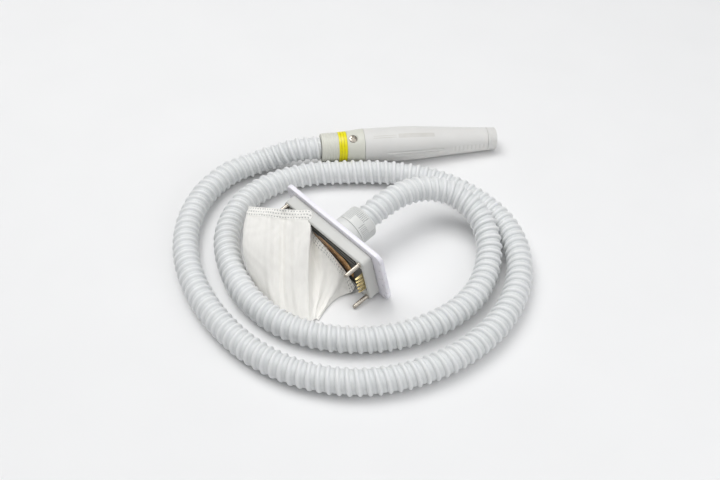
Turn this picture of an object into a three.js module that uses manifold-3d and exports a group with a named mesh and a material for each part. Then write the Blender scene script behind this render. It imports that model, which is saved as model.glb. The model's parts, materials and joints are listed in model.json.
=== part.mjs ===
// Motor handpiece with a ribbed hose and a rectangular contact plug.
// Units are millimetres and +Z is up. The handpiece lies along +X with its nose at +X.
// The origin is under the middle of the handpiece, on the surface that everything lies on.

import * as THREE from 'three';
import { mergeVertices } from 'three/addons/utils/BufferGeometryUtils.js';
import { ConvexGeometry } from 'three/addons/geometries/ConvexGeometry.js';
import Module from 'manifold-3d';

const wasm = await Module();
wasm.setup();

// ---------- driving dimensions ----------

const GAP = 0.3; // clearance between neighbouring pieces
const DEG = Math.PI / 180;
const UP = new THREE.Vector3(0, 0, 1);

// Handpiece, measured along its own axis from the rear face of the collar.
const REAR_AXIS_X = -92.03;
const REAR_AXIS_HEIGHT = 23.12;
const NOSE_DOWN = 3.4 * DEG;
const ROLL = 22 * DEG; // the screw side is turned a little off the top
const COLLAR_END = 44;
const BARREL_END = 174.6;
const NOSE_END = 184.6;
const OUTLINE = [ // station, radius of the grip
  [COLLAR_END, 17.6], [68, 17.7], [84, 17.7], [100, 17.2],
  [115, 16.1], [136, 14.5], [157, 13.2], [BARREL_END, 12],
];
const LABEL_START = 17.2;
const LABEL_END = 26.2;
const LABEL_SEAT_RADIUS = 14.7;
const SPIGOT_START = 28.3;
const SPIGOT_RADIUS = 13.7;
const BARREL_BORE = 12.4;
const BORE_STEP = 131.3;
const NOSE_BORE = 9.6;
const SCREW_STATION = 32;
const SCREW_SEAT = 15.6; // distance of the screw seat from the axis
const SCREW_HEAD_RADIUS = 4.3;
const SCREW_SHANK_RADIUS = 1.5;

// Motor and drive inside the grip.
const SPINDLE_RADIUS = 2.5;
const STATOR_START = 66;
const STATOR_END = 118;
const REAR_BEARING = [51.2, 57.2];
const FRONT_BEARING = [138, 146];
const BEARING_OUTER = 7.5;

// Hose.
const HOSE_RADIUS = 12.5;
const HOSE_SIDES = 10;
const HOSE_STEPS = 64;

// Plug: X runs along it, -Y is the mating side, Z is across it.
const PLUG_PLACE = [-91.8, -142.7, 33.25];
const PLUG_YAW = -57.2 * DEG;
const PLUG_TILT = 11.3 * DEG;
const PLATE = { width: 130, height: 66, thickness: 4.5, corner: 7, bevel: 0.8, pocket: 0.6 };
const BLOCK = { width: 109, height: 56, depth: 12.1, corner: 4, bevel: 1.2 };
const BLOCK_FACE = -(PLATE.thickness - PLATE.pocket + GAP + BLOCK.depth);
const RECESS_DEPTH = 3.5;
const PIN = { x: 50, z: 25, radius: 2, reach: 17.5, seat: 6 };
const CONTACT = { x: 50, pitch: 5, count: 5, thickness: 1.6, width: 2.2, reach: 9.5 };
const GLAND_RADIUS = 17.2;
const GLAND_BODY_END = 13;
const SPIGOT_LENGTH = 7;
const NUT_END = 31;

// Route of the hose's centreline, from the collar round two loose turns into the gland.
const HOSE_ROUTE = [
  [-92.6, 0, 23.2], [-105, 0, 23.9], [-121, 1, 22.4], [-139, 1.2, 17.2],
  [-160, -1.5, 13], [-187, -12.5, 12.5], [-211, -35.5, 12.5], [-228, -68.5, 12.5], [-235.5, -109, 12.5],
  [-230.5, -154, 12.5], [-213.5, -199.5, 12.5], [-186, -241, 12.5], [-148, -272.5, 12.5],
  [-101, -290, 12.5], [-54, -290, 12.5], [-9, -276.5, 12.5], [31, -250, 12.5],
  [59, -214, 12.5], [73, -172, 12.5], [71, -129, 12.5], [53, -91.5, 12.5],
  [20, -58, 12.5], [-22, -38, 12.5], [-66, -29.5, 12.5], [-108, -26.5, 12.5],
  [-146, -35.5, 12.5], [-177, -59, 12.5], [-195, -97, 12.5], [-195, -139, 12.5],
  [-181.5, -183, 12.5], [-152, -219.5, 12.5], [-109, -241.5, 12.5], [-62, -247, 12.5],
  [-17, -236.5, 12.5], [20, -212.5, 12.5], [42, -177, 13.5], [48.5, -147, 20],
  [42.5, -119, 27.5], [23, -99, 35], [-3, -94.5, 40.8], [-28, -102.5, 44],
  [-50.6, -116.1, 43], [-66.2, -126.2, 39.3], [-80.6, -135.5, 35.9],
];

// Corners of the space that the pleated fabric cover fills in front of the plug.
const COVER_CORNERS = [
  [-174, -114, 0.4], [-174, -114, 48], [-153, -122, 50], [-121, -159, 33], [-109, -177, 0.4],
  [-121, -211, 0.4], [-145, -200, 0.4], [-162, -181, 0.4], [-173, -158, 0.4],
];

// ---------- materials ----------

function finish(color, roughness, metalness = 0) {
  return new THREE.MeshStandardMaterial({ color, roughness, metalness });
}

const warmGreyPlastic = finish(0xd8d7d4, 0.45);
const greenGreyPlastic = finish(0xcccdc2, 0.5);
const yellowLabel = finish(0xebe400, 0.4);
const steel = finish(0x9a9488, 0.3, 1);
const brass = finish(0xb08a3c, 0.35, 1);
const aluminium = finish(0xb9bcc0, 0.35, 1);
const laminationSteel = finish(0x5c5f63, 0.5, 1);
const copper = finish(0xb56a3c, 0.4, 1);
const blackRubber = finish(0x202020, 0.8);
const hoseVinyl = finish(0xd9dcdd, 0.5);
const clearTube = finish(0xbcd0d8, 0.3);
const whitePlastic = finish(0xf4f2f7, 0.4);
const blockPlastic = finish(0xcdcec6, 0.5);
const blackPlastic = finish(0x1b1b1c, 0.5);
const amberFilm = finish(0xc8965a, 0.35);
const gold = finish(0xdcbe78, 0.25, 1);
const coverFabric = finish(0xeeeeec, 0.9);

// ---------- shape helpers ----------

// Closed outline of [station, radius] pairs turned about the X axis.
function turned(outline, segments = 24) {
  const area = outline.reduce((sum, [x, r], i) => {
    const [nextX, nextR] = outline[(i + 1) % outline.length];
    return sum + x * nextR - nextX * r;
  }, 0);
  const ordered = area > 0 ? [...outline].reverse() : [...outline];
  ordered.push(ordered[0]);
  const points = ordered.map(([x, r]) => new THREE.Vector2(r, x));
  return new THREE.LatheGeometry(points, segments).rotateZ(-Math.PI / 2);
}

// Plain ring between two stations and two radii.
function ring(start, end, inner, outer, segments = 24) {
  return turned([[start, inner], [start, outer], [end, outer], [end, inner]], segments);
}

// Solid rod about the X axis, with its outline given as [station, radius] pairs.
function rod(outline, segments = 16) {
  const first = outline[0];
  const last = outline[outline.length - 1];
  const points = [[first[0], 0], ...outline, [last[0], 0]];
  return new THREE.LatheGeometry(points.map(([x, r]) => new THREE.Vector2(r, x)), segments)
    .rotateZ(-Math.PI / 2);
}

function roundedRectangle(width, height, corner) {
  const x = width / 2;
  const y = height / 2;
  const shape = new THREE.Shape();
  shape.moveTo(-x + corner, -y);
  shape.lineTo(x - corner, -y);
  shape.absarc(x - corner, -y + corner, corner, -Math.PI / 2, 0);
  shape.lineTo(x, y - corner);
  shape.absarc(x - corner, y - corner, corner, 0, Math.PI / 2);
  shape.lineTo(-x + corner, y);
  shape.absarc(-x + corner, y - corner, corner, Math.PI / 2, Math.PI);
  shape.lineTo(-x, -y + corner);
  shape.absarc(-x + corner, -y + corner, corner, Math.PI, 1.5 * Math.PI);
  return shape;
}

// Plate seen from the mating side: its outline lies in X and Z, its thickness along +Y.
function slab(shape, yStart, thickness, bevel = 0) {
  const geometry = new THREE.ExtrudeGeometry(shape, {
    depth: thickness - 2 * bevel,
    bevelEnabled: bevel > 0,
    bevelThickness: bevel,
    bevelSize: bevel,
    bevelOffset: -bevel,
    bevelSegments: 1,
    curveSegments: 4,
  });
  return geometry.rotateX(Math.PI / 2).translate(0, yStart + thickness - bevel, 0);
}

function solid(geometry) {
  const bare = geometry.clone();
  bare.deleteAttribute('normal');
  bare.deleteAttribute('uv');
  const merged = mergeVertices(bare, 1e-4);
  return new wasm.Manifold(new wasm.Mesh({
    numProp: 3,
    vertProperties: new Float32Array(merged.attributes.position.array),
    triVerts: new Uint32Array(merged.index.array),
  }));
}

function geometryOf(manifold) {
  const mesh = manifold.getMesh();
  const geometry = new THREE.BufferGeometry();
  geometry.setAttribute('position', new THREE.BufferAttribute(mesh.vertProperties, 3));
  geometry.setIndex(new THREE.BufferAttribute(mesh.triVerts, 1));
  return geometry;
}

function cut(geometry, ...tools) {
  return geometryOf(tools.reduce((body, tool) => body.subtract(solid(tool)), solid(geometry)));
}

function joined(geometry, ...others) {
  return geometryOf(others.reduce((body, other) => body.add(solid(other)), solid(geometry)));
}

function piece(name, geometry, material) {
  const mesh = new THREE.Mesh(geometry, material);
  mesh.name = name;
  return mesh;
}

// ---------- handpiece shell ----------

// Round tool or pin standing on the screw's line, between two distances from the axis.
function screwLineRod(radius, from, to, segments = 16) {
  return new THREE.CylinderGeometry(radius, radius, to - from, segments)
    .rotateX(Math.PI / 2)
    .translate(SCREW_STATION, 0, (from + to) / 2);
}

function rearCollar() {
  const shell = turned([
    [0, 9.5], [0, 14.3], [0.5, 14.8], [LABEL_START, 15.2], [LABEL_START, LABEL_SEAT_RADIUS],
    [LABEL_END, LABEL_SEAT_RADIUS], [LABEL_END, 15.9], [COLLAR_END - GAP, 17.6],
    [COLLAR_END - GAP, SPIGOT_RADIUS + GAP], [SPIGOT_START - GAP, SPIGOT_RADIUS + GAP],
    [SPIGOT_START - GAP, 11.5], [2.2, 11.5], [2.2, 9.5],
  ], 32);
  const hole = screwLineRod(SCREW_SHANK_RADIUS + GAP, 10, 20);
  const seat = screwLineRod(SCREW_HEAD_RADIUS + GAP, SCREW_SEAT, 20);
  return piece('rear_collar', cut(shell, hole, seat), greenGreyPlastic);
}

function labelBand() {
  const inner = LABEL_SEAT_RADIUS + GAP;
  const outline = [
    [LABEL_START + GAP, inner], [LABEL_START + GAP, 15.35],
    [LABEL_END - GAP, 15.75], [LABEL_END - GAP, inner],
  ];
  return piece('label_band', turned(outline, 32), yellowLabel);
}

function barrelShell() {
  const shell = turned([
    ...OUTLINE, [BARREL_END, NOSE_BORE], [BORE_STEP, NOSE_BORE], [BORE_STEP, BARREL_BORE],
    [SPIGOT_START, BARREL_BORE], [SPIGOT_START, SPIGOT_RADIUS], [COLLAR_END, SPIGOT_RADIUS],
  ], 32);
  const insertHole = screwLineRod(2.7, 10, 15);
  return piece('barrel_shell', cut(shell, insertHole), warmGreyPlastic);
}

function collarScrew() {
  const outline = [
    [12.6, SCREW_SHANK_RADIUS], [SCREW_SEAT + GAP, SCREW_SHANK_RADIUS],
    [SCREW_SEAT + GAP, SCREW_HEAD_RADIUS], [16.5, SCREW_HEAD_RADIUS], [17.2, 2.2],
  ];
  const geometry = rod(outline, 20).rotateY(-Math.PI / 2).translate(SCREW_STATION, 0, 0);
  return piece('collar_screw', geometry, steel);
}

function screwInsert() {
  const geometry = ring(12.6, 13.6, SCREW_SHANK_RADIUS + GAP, 2.4, 16)
    .rotateY(-Math.PI / 2)
    .translate(SCREW_STATION, 0, 0);
  return piece('screw_insert', geometry, brass);
}

function noseLockRing() {
  const start = BARREL_END + GAP;
  const outline = [
    [start, NOSE_BORE + GAP], [start, 12], [NOSE_END - 1, 11.5], [NOSE_END, 10.8],
    [NOSE_END, 6.5], [182.4, 6.5], [182.4, NOSE_BORE + GAP],
  ];
  return piece('nose_lock_ring', turned(outline, 32), warmGreyPlastic);
}

// ---------- hose end and leads inside the collar ----------

function lead(name, y, radius, material) {
  const outline = [[3, radius], [46.5, radius]];
  return piece(name, rod(outline, 10).translate(0, y, 0), material);
}

function collarInternals() {
  return [
    piece('hose_cuff', ring(2.5, 15.5, 8, 11.2, 24), aluminium),
    piece('cuff_seal', ring(15.9, 18.1, 9, 11.2, 20), blackRubber),
    piece('cable_clamp', ring(18.5, 26, 6.4, 11.2, 20), blackPlastic),
    lead('motor_cable', -3, 2.6, blackRubber),
    lead('cooling_tube', 3, 2.2, clearTube),
  ];
}

// ---------- motor and drive ----------

function motor() {
  const sleeve = ring(58, 125.7, 11.3, BARREL_BORE - GAP, 28);
  const core = ring(STATOR_START, STATOR_END, 7.4, 11, 24);
  const rearWinding = ring(59, STATOR_START - GAP, 7.8, 10.8, 20);
  const frontWinding = ring(STATOR_END + GAP, 124.8, 7.8, 10.8, 20);
  const magnet = ring(STATOR_START, STATOR_END, SPINDLE_RADIUS + GAP, 7, 20);
  return [
    piece('motor_sleeve', sleeve, aluminium),
    piece('stator_core', core, laminationSteel),
    piece('rear_winding', rearWinding, copper),
    piece('front_winding', frontWinding, copper),
    piece('rotor_magnet', magnet, laminationSteel),
  ];
}

function rearCarrier() {
  const outline = [
    [47.5, 3], [47.5, 12.1], [57.7, 12.1], [57.7, BEARING_OUTER + GAP],
    [49.7, BEARING_OUTER + GAP], [49.7, 3],
  ];
  return piece('rear_carrier', turned(outline), aluminium);
}

function frontHousing() {
  const pocket = BEARING_OUTER + GAP;
  const outline = [
    [126, 3.6], [126, 12.1], [BORE_STEP - GAP, 12.1], [BORE_STEP - GAP, NOSE_BORE - GAP],
    [182, NOSE_BORE - GAP], [182, pocket], [171.5, pocket], [171.5, 5.2],
    [FRONT_BEARING[1] + GAP, 5.2], [FRONT_BEARING[1] + GAP, pocket],
    [FRONT_BEARING[0] - GAP, pocket], [FRONT_BEARING[0] - GAP, 3.6],
  ];
  return piece('front_housing', turned(outline, 28), aluminium);
}

function driveSpindle() {
  const outline = [
    [48, 0], [48, SPINDLE_RADIUS], [128, SPINDLE_RADIUS], [128, 3], [150, 3], [150, 4.6],
    [180, 4.6], [180, 2.1], [158, 2.1], [158, 0],
  ];
  const points = outline.map(([x, r]) => new THREE.Vector2(r, x));
  const geometry = new THREE.LatheGeometry(points, 20).rotateZ(-Math.PI / 2);
  return piece('drive_spindle', geometry, steel);
}

function collet() {
  const outline = [
    [159, 0], [159, 1.8], [180.3, 1.8], [180.3, 4.2], [183.5, 4.2], [183.5, 1.2], [165, 1.2],
    [165, 0],
  ];
  const points = outline.map(([x, r]) => new THREE.Vector2(r, x));
  const geometry = new THREE.LatheGeometry(points, 20).rotateZ(-Math.PI / 2);
  return piece('collet', geometry, steel);
}

function bearings() {
  const [rearStart, rearEnd] = REAR_BEARING;
  const [frontStart, frontEnd] = FRONT_BEARING;
  return [
    piece('preload_spring', ring(50, 50.9, 5, BEARING_OUTER, 20), steel),
    piece('rear_bearing', ring(rearStart, rearEnd, 2.8, BEARING_OUTER, 24), steel),
    piece('front_bearing', ring(frontStart, frontEnd, 3.3, BEARING_OUTER, 24), steel),
    piece('front_seal', ring(172, 176.5, 4.9, BEARING_OUTER, 20), blackRubber),
    piece('seal_retainer', ring(176.8, 181.7, 4.9, BEARING_OUTER, 24), steel),
  ];
}

function handpiece() {
  const rolled = new THREE.Group();
  rolled.rotation.x = ROLL;
  rolled.add(
    rearCollar(), labelBand(), barrelShell(), collarScrew(), screwInsert(), noseLockRing(),
    ...collarInternals(), ...motor(), rearCarrier(), frontHousing(), driveSpindle(), collet(),
    ...bearings(),
  );
  const group = new THREE.Group();
  group.position.set(REAR_AXIS_X, 0, REAR_AXIS_HEIGHT);
  group.rotation.y = NOSE_DOWN;
  group.add(rolled);
  return group;
}

// ---------- hose ----------

function hose() {
  const section = new THREE.Shape();
  for (let side = 0; side < HOSE_SIDES; side += 1) {
    const angle = side * 2 * Math.PI / HOSE_SIDES;
    const place = [HOSE_RADIUS * Math.cos(angle), HOSE_RADIUS * Math.sin(angle)];
    if (side === 0) section.moveTo(...place);
    else section.lineTo(...place);
  }
  section.closePath();
  const points = HOSE_ROUTE.map((place) => new THREE.Vector3(...place));
  const extrudePath = new THREE.CatmullRomCurve3(points, false, 'centripetal');
  const geometry = new THREE.ExtrudeGeometry(section, {
    steps: HOSE_STEPS, extrudePath, bevelEnabled: false,
  });
  return piece('ribbed_hose', geometry, hoseVinyl);
}

// ---------- plug ----------

// Cross-shaped outline of the recess: it leaves the four corners for the guide pins.
function recessShape(inset) {
  const long = BLOCK.width / 2 - 2.5 - inset;
  const short = BLOCK.height / 2 - 2.5 - inset;
  const pinX = PIN.x - 4 - inset;
  const pinZ = PIN.z - 5 - inset;
  const corners = [
    [long, pinZ], [pinX, pinZ], [pinX, short], [-pinX, short], [-pinX, pinZ], [-long, pinZ],
    [-long, -pinZ], [-pinX, -pinZ], [-pinX, -short], [pinX, -short], [pinX, -pinZ],
    [long, -pinZ],
  ];
  return new THREE.Shape(corners.map(([x, z]) => new THREE.Vector2(x, z)));
}

// The block's back sits in a shallow pocket of the plate, so the plate's rim is a flat ring.
function coverPlate() {
  const shape = roundedRectangle(PLATE.width, PLATE.height, PLATE.corner);
  const body = slab(shape, -PLATE.thickness, PLATE.thickness, PLATE.bevel);
  const margin = 0.75;
  const pocketShape = roundedRectangle(
    BLOCK.width + 2 * margin, BLOCK.height + 2 * margin, BLOCK.corner + margin,
  );
  const pocket = slab(pocketShape, -PLATE.thickness - 1, PLATE.pocket + 1);
  return piece('cover_plate', cut(body, pocket), whitePlastic);
}

// Round tool or pin along Y at the given place on the plug.
function yRod(x, z, radius, yStart, yEnd, segments = 14) {
  return new THREE.CylinderGeometry(radius, radius, yEnd - yStart, segments)
    .translate(x, (yStart + yEnd) / 2, z);
}

function pinPlaces() {
  return [[PIN.x, PIN.z], [PIN.x, -PIN.z], [-PIN.x, PIN.z], [-PIN.x, -PIN.z]];
}

function plugBlock() {
  const shape = roundedRectangle(BLOCK.width, BLOCK.height, BLOCK.corner);
  const body = slab(shape, BLOCK_FACE, BLOCK.depth, BLOCK.bevel);
  const recess = slab(recessShape(0), BLOCK_FACE - 1, RECESS_DEPTH + 1);
  const sockets = pinPlaces().map(([x, z]) => yRod(
    x, z, PIN.radius + GAP, BLOCK_FACE - 1, BLOCK_FACE + PIN.seat + GAP,
  ));
  return piece('plug_block', cut(body, recess, ...sockets), blockPlastic);
}

function contactInsulator() {
  const floor = BLOCK_FACE + RECESS_DEPTH - GAP;
  const base = slab(recessShape(GAP), floor - 1.2, 1.2);
  const rails = [20.5, 15.5].map((z) => new THREE.BoxGeometry(86, 2, 3)
    .translate(0, floor - 2, z));
  return piece('contact_insulator', joined(base, ...rails), blackPlastic);
}

// Curved strip of printed film on the face of the insulator.
function filmStrip() {
  const shape = new THREE.Shape();
  shape.moveTo(-42, 1);
  shape.quadraticCurveTo(-10, 12, 14, 12);
  shape.quadraticCurveTo(32, 12, 38, -12);
  shape.lineTo(33, -13);
  shape.quadraticCurveTo(28, 6, 12, 6.5);
  shape.quadraticCurveTo(-10, 7, -42, -4);
  shape.closePath();
  const face = BLOCK_FACE + RECESS_DEPTH - GAP - 1.2;
  return piece('film_strip', slab(shape, face - GAP - 0.6, 0.6), amberFilm);
}

function guidePins() {
  return pinPlaces().map(([x, z], index) => {
    const start = BLOCK_FACE + PIN.seat;
    const tip = BLOCK_FACE - PIN.reach;
    const outline = [
      [-start, PIN.radius], [-tip - 1.6, PIN.radius], [-tip - 0.5, 1.5], [-tip, 0.6],
    ];
    const geometry = rod(outline, 14).rotateZ(-Math.PI / 2).translate(x, 0, z);
    return piece(`guide_pin_${index + 1}`, geometry, steel);
  });
}

// Spring finger: stands out of the insulator and bows towards the end of the plug.
function contactFinger(name, side, z) {
  const root = BLOCK_FACE + RECESS_DEPTH - 1.8;
  const tip = root - CONTACT.reach;
  const half = CONTACT.width / 2;
  const shape = new THREE.Shape();
  shape.moveTo(-half, 0);
  shape.quadraticCurveTo(-half + 0.9, CONTACT.reach * 0.6, -half + 0.3, CONTACT.reach - 0.5);
  shape.lineTo(-half + 0.9, CONTACT.reach);
  shape.lineTo(half - 0.7, CONTACT.reach);
  shape.lineTo(half, CONTACT.reach - 0.7);
  shape.quadraticCurveTo(half + 1, CONTACT.reach * 0.5, half, 0);
  shape.closePath();
  const geometry = new THREE.ExtrudeGeometry(shape, {
    depth: CONTACT.thickness, bevelEnabled: false, curveSegments: 4,
  });
  geometry.translate(0, -CONTACT.reach, -CONTACT.thickness / 2);
  geometry.rotateX(Math.PI);
  geometry.translate(0, -CONTACT.reach, 0);
  if (side < 0) geometry.rotateY(Math.PI);
  return piece(name, geometry.translate(side * CONTACT.x, tip + CONTACT.reach, z), gold);
}

function contacts() {
  const middle = (CONTACT.count - 1) / 2;
  return [1, -1].flatMap((side, column) => Array.from({ length: CONTACT.count }, (_, row) => {
    const number = column * CONTACT.count + row + 1;
    return contactFinger(`contact_${number}`, side, (middle - row) * CONTACT.pitch);
  }));
}

// Pieces of the gland are turned about the plug's Y axis.
function glandPiece(name, outline, material, segments = 28) {
  return piece(name, turned(outline, segments).rotateZ(Math.PI / 2), material);
}

function gland() {
  const spigotEnd = GLAND_BODY_END + SPIGOT_LENGTH;
  const bore = HOSE_RADIUS + 0.5;
  return [
    glandPiece('gland_gasket', [[GAP, 9], [GAP, 16.6], [1.3, 16.6], [1.3, 9]], blackRubber, 24),
    glandPiece('gland_body', [
      [1.6, 9], [1.6, 16.8], [GLAND_BODY_END, 16.8], [GLAND_BODY_END, 9],
    ], warmGreyPlastic),
    glandPiece('thread_sleeve', [
      [GLAND_BODY_END + GAP, bore], [GLAND_BODY_END + GAP, 14.2], [spigotEnd, 14.2],
      [spigotEnd, bore],
    ], warmGreyPlastic),
    glandPiece('clamp_ring', [
      [spigotEnd + GAP, bore], [spigotEnd + GAP, 14.2], [spigotEnd + 2.3, 14.2],
      [spigotEnd + 2.3, bore],
    ], whitePlastic, 24),
    glandPiece('gland_nut', [
      [GLAND_BODY_END + GAP, 14.5], [GLAND_BODY_END + GAP, GLAND_RADIUS],
      [NUT_END - 2, GLAND_RADIUS], [NUT_END, GLAND_RADIUS - 1.6], [NUT_END, bore],
      [spigotEnd + 2.6, bore], [spigotEnd + 2.6, 14.5],
    ], greenGreyPlastic),
  ];
}

function plateScrews() {
  return [[58, -26], [-58, -26], [58, 26], [-58, 26]].map(([x, z], index) => {
    const outline = [[GAP, 3], [1.1, 3], [1.9, 1.6]];
    const geometry = rod(outline, 14).rotateZ(Math.PI / 2).translate(x, 0, z);
    return piece(`plate_screw_${index + 1}`, geometry, steel);
  });
}

function plug() {
  const group = new THREE.Group();
  group.position.set(...PLUG_PLACE);
  group.rotateOnWorldAxis(new THREE.Vector3(1, 0, 0), PLUG_TILT);
  group.rotateOnWorldAxis(UP, PLUG_YAW);
  group.add(
    coverPlate(), plugBlock(), contactInsulator(), filmStrip(), ...guidePins(), ...contacts(),
    ...gland(), ...plateScrews(),
  );
  return group;
}

// ---------- fabric cover over the mating side ----------

function dustCover() {
  const corners = COVER_CORNERS.map((place) => new THREE.Vector3(...place));
  return piece('dust_cover', new ConvexGeometry(corners), coverFabric);
}

const object = new THREE.Group();
object.add(handpiece(), hose(), plug(), dustCover());

export default object;
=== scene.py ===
"""Motor handpiece with a ribbed hose, a contact plug and a fabric cover, built around its CAD frame."""

import json
import math
import random

import bmesh
import bpy
from bpy.props import FloatProperty, FloatVectorProperty, IntProperty, PointerProperty
from mathutils import Matrix, Vector


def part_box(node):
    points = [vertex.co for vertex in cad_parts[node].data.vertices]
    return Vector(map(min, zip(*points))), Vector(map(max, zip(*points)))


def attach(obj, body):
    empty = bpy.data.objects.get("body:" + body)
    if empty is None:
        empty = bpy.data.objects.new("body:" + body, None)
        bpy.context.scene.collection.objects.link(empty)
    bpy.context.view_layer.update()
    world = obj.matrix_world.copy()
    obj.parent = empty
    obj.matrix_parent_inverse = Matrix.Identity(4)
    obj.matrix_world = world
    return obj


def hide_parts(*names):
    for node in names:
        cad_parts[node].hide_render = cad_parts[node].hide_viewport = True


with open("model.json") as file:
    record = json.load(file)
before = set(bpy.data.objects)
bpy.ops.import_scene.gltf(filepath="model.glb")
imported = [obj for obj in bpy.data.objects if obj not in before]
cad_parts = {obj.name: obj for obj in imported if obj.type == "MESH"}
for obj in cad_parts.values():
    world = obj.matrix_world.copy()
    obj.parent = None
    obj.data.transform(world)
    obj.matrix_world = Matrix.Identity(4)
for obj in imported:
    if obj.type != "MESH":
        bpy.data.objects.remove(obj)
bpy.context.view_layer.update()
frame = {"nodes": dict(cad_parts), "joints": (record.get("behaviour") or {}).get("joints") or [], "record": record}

bl_info = {
    "name": "Motor handpiece",
    "version": (1, 0, 0),
    "blender": (4, 5, 0),
    "location": "View3D > Sidebar > Handpiece",
    "description": "Builds the visible pieces of a motor handpiece, its hose, plug and cover",
    "category": "Object",
}

MM = 0.001
X_AXIS = Vector((1, 0, 0))
Y_AXIS = Vector((0, 1, 0))
Z_AXIS = Vector((0, 0, 1))

# Stations along the handpiece, in millimetres from the rear face of its collar.
SPINDLE_STATION = 120
COLLAR_END = 44
BARREL_END = 174.6
NOSE_START = 174.9
NOSE_END = 184.6
LABEL_START = 17.2
LABEL_END = 26.2
SCREW_STATION = 32
BORE_RADIUS = 12.4
SCREW_SIDE = math.radians(22)
# The nut's joint lies this far behind the plug's plate, in millimetres.
NUT_STATION = 22

# Route of the hose's centreline, in metres, from the collar round two turns into the gland.
HOSE_ROUTE = [
    (-0.0926, 0, 0.0232), (-0.105, 0, 0.0239), (-0.121, 0.001, 0.0224),
    (-0.139, 0.0012, 0.0172), (-0.16, -0.0015, 0.013), (-0.187, -0.0125, 0.0125),
    (-0.211, -0.0355, 0.0125), (-0.228, -0.0685, 0.0125), (-0.2355, -0.109, 0.0125),
    (-0.2305, -0.154, 0.0125), (-0.2135, -0.1995, 0.0125), (-0.186, -0.241, 0.0125),
    (-0.148, -0.2725, 0.0125), (-0.101, -0.29, 0.0125), (-0.054, -0.29, 0.0125),
    (-0.009, -0.2765, 0.0125), (0.031, -0.25, 0.0125), (0.059, -0.214, 0.0125),
    (0.073, -0.172, 0.0125), (0.071, -0.129, 0.0125), (0.053, -0.0915, 0.0125),
    (0.02, -0.058, 0.0125), (-0.022, -0.038, 0.0125), (-0.066, -0.0295, 0.0125),
    (-0.108, -0.0265, 0.0125), (-0.146, -0.0355, 0.0125), (-0.177, -0.059, 0.0125),
    (-0.195, -0.097, 0.0125), (-0.195, -0.139, 0.0125), (-0.1815, -0.183, 0.0125),
    (-0.152, -0.2195, 0.0125), (-0.109, -0.2415, 0.0125), (-0.062, -0.247, 0.0125),
    (-0.017, -0.2365, 0.0125), (0.02, -0.2125, 0.0125), (0.042, -0.177, 0.0135),
    (0.0485, -0.147, 0.02), (0.0425, -0.119, 0.0275), (0.023, -0.099, 0.035),
    (-0.003, -0.0945, 0.0408), (-0.028, -0.1025, 0.044), (-0.0506, -0.1161, 0.043),
    (-0.0662, -0.1262, 0.0393), (-0.0806, -0.1355, 0.0359),
]


# ---------- places from the frame ----------


def joint(name):
    return next(j for j in frame["joints"] if j["name"] == name)


def basis(x, y, z, origin):
    """Matrix from a piece's own millimetres to the row's metres."""
    columns = [(*(v * MM), 0) for v in (x, y, z)] + [(*origin, 1)]
    return Matrix(columns).transposed()


def handpiece_matrix():
    """X runs along the handpiece from its rear face, Z points at the side that holds the screw."""
    spin = joint("spindle_spin")
    x = Vector(spin["axis"]).normalized()
    rear = Vector(spin["pos_m"]) - x * SPINDLE_STATION * MM
    side = Z_AXIS.cross(x).normalized()
    top = x.cross(side)
    turn = Matrix.Rotation(SCREW_SIDE, 3, x)
    return basis(x, turn @ side, turn @ top, rear)


def plug_matrix():
    """Y runs out of the back of the plug along its gland, Z across it, X along it."""
    y = Vector(joint("nut_turn")["axis"]).normalized()
    z = Vector(joint("finger_6_flex")["axis"]).normalized()
    centre = Vector(joint("nut_turn")["pos_m"]) - y * NUT_STATION * MM
    return basis(y.cross(z), y, z, centre)


HANDPIECE = handpiece_matrix()
PLUG = plug_matrix()


def grip_outline():
    """Outer (station, radius) pairs of the grip, in millimetres, read from the CAD barrel."""
    to_own = HANDPIECE.inverted()
    found = {}
    for vertex in frame["nodes"]["barrel_shell"].data.vertices:
        place = to_own @ vertex.co
        station = round(place.x, 1)
        radius = math.hypot(place.y, place.z)
        if station >= COLLAR_END and (radius > BORE_RADIUS + 0.1 or station > BARREL_END - 1):
            found[station] = max(found.get(station, 0), radius)
    return sorted(found.items())


# ---------- sizes and colours ----------


def linear(code):
    """Linear colour of an sRGB hex code."""
    channels = [int(code[i:i + 2], 16) / 255 for i in (0, 2, 4)]
    return tuple(c / 12.92 if c <= 0.04045 else ((c + 0.055) / 1.055) ** 2.4 for c in channels)


def length(name, description, default):
    return FloatProperty(name=name, description=description, default=default, unit="LENGTH")


def colour(name, description, code):
    return FloatVectorProperty(
        name=name, description=description, default=linear(code), subtype="COLOR", size=3,
        min=0, max=1,
    )


class HandpieceSizes(bpy.types.PropertyGroup):
    ring_groove: length("Ring groove", "Depth of the fine rings round the collar", 0.00025)
    side_groove: length("Side groove", "Depth of the long grooves in the grip", 0.0009)
    rib_groove: length("Rib groove", "Depth of the notches of the finger grip", 0.00045)
    round_steps: IntProperty(name="Steps", description="Steps round a turned piece", default=128)


class HoseSizes(bpy.types.PropertyGroup):
    diameter: length("Diameter", "Outer diameter over the ribs", 0.025)
    pitch: length("Pitch", "Distance between two ribs", 0.0082)
    rib: length("Rib height", "Height of a rib over the valley", 0.0022)
    sides: IntProperty(name="Sides", description="Steps round the hose", default=32)


class PlugSizes(bpy.types.PropertyGroup):
    edge: length("Edge", "Rounding of the moulded edges", 0.0004)
    grip_rib: length("Nut rib", "Height of the ribs on the gland nut", 0.0008)


class CoverSizes(bpy.types.PropertyGroup):
    thickness: length("Thickness", "Thickness of the non-woven cloth", 0.0005)
    hem: length("Hem", "Width of the welded hem", 0.009)
    dot_pitch: length("Dot pitch", "Distance between two welded dots", 0.0026)


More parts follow.
